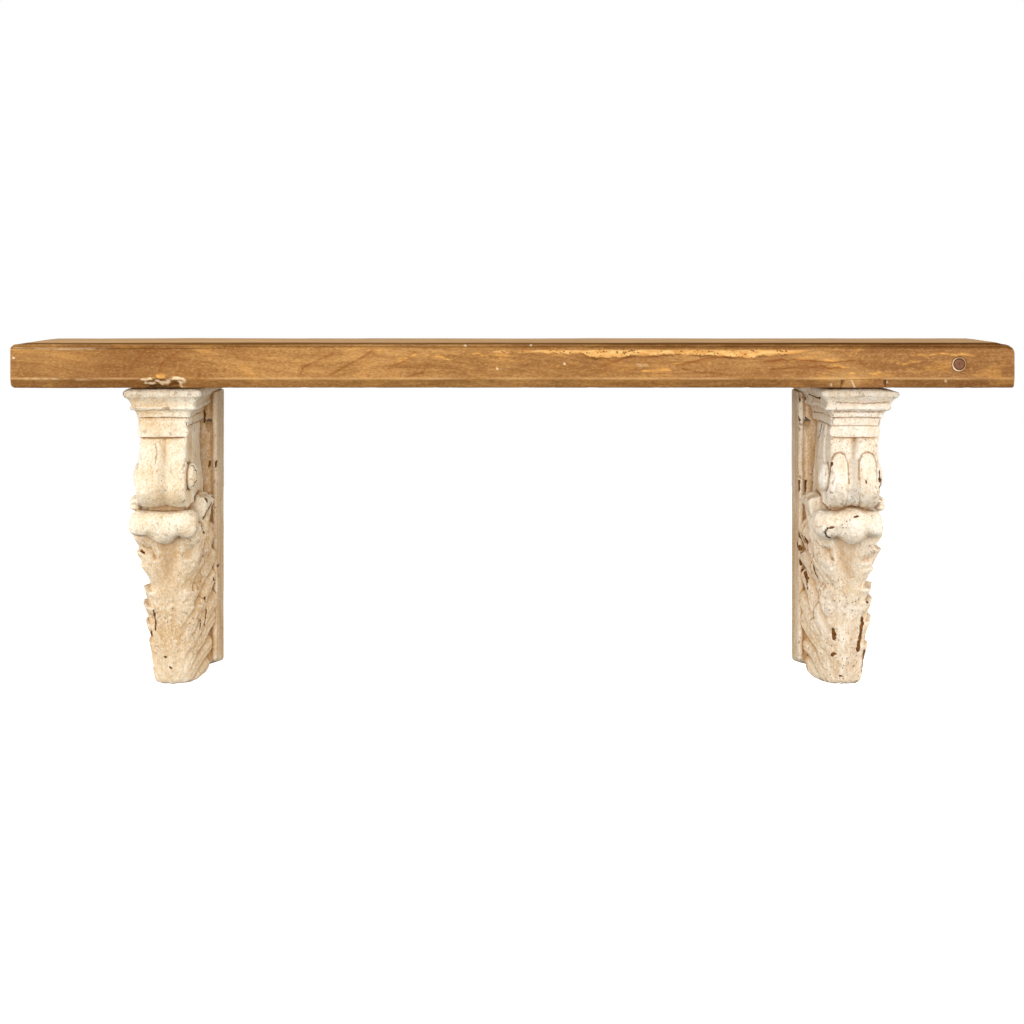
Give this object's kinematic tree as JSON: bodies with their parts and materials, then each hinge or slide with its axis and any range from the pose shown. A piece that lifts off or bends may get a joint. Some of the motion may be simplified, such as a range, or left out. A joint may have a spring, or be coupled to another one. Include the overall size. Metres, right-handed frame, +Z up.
{
  "type": "wall shelf",
  "caption": "Thick old plank with a chamfered front edge, carried by a pair of carved console corbels with capped tops, reeded scrolls and leaf-shaped feet.",
  "frame": {"origin": "the middle of the plank's back face, on the wall", "axes": "+X along the wall to the viewer's right, +Y from the room into the wall, +Z up"},
  "size_m": [1.016, 0.203, 0.366],
  "materials": {
    "old_pine": "old pine, waxed, worn and worm-eaten",
    "filler": "dried wood filler",
    "plug_wood": "end grain, waxed",
    "patch_wood": "waxed",
    "painted_wood": "old cream paint, chipped to the wood",
    "hanger_steel": "dull zinc plate",
    "screw_steel": "dull, slightly rusted"
  },
  "bodies": {
    "root": {"shelf_plank": "old_pine", "plug_filler": "filler", "dowel_plug": "plug_wood", "edge_patch": "patch_wood", "left_back_block": "painted_wood", "left_core_block": "painted_wood", "left_cap_front_moulding": "painted_wood", "left_cap_inner_moulding": "painted_wood", "left_cap_outer_moulding": "painted_wood", "left_neck_front_moulding": "painted_wood", "left_neck_inner_moulding": "painted_wood", "left_neck_outer_moulding": "painted_wood", "left_reeded_scroll": "painted_wood", "left_inner_boss": "painted_wood", "left_outer_boss": "painted_wood", "left_leaf_lip": "painted_wood", "left_acanthus_leaf": "painted_wood", "left_inner_lobes": "painted_wood", "left_outer_lobes": "painted_wood", "left_hanger_plate": "hanger_steel", "right_back_block": "painted_wood", "right_core_block": "painted_wood", "right_cap_front_moulding": "painted_wood", "right_cap_inner_moulding": "painted_wood", "right_cap_outer_moulding": "painted_wood", "right_neck_front_moulding": "painted_wood", "right_neck_inner_moulding": "painted_wood", "right_neck_outer_moulding": "painted_wood", "right_reeded_scroll": "painted_wood", "right_inner_boss": "painted_wood", "right_outer_boss": "painted_wood", "right_leaf_lip": "painted_wood", "right_acanthus_leaf": "painted_wood", "right_inner_lobes": "painted_wood", "right_outer_lobes": "painted_wood", "right_hanger_plate": "hanger_steel", "pocket_screws": "screw_steel", "plate_screws": "screw_steel"}
  },
  "joints": []
}
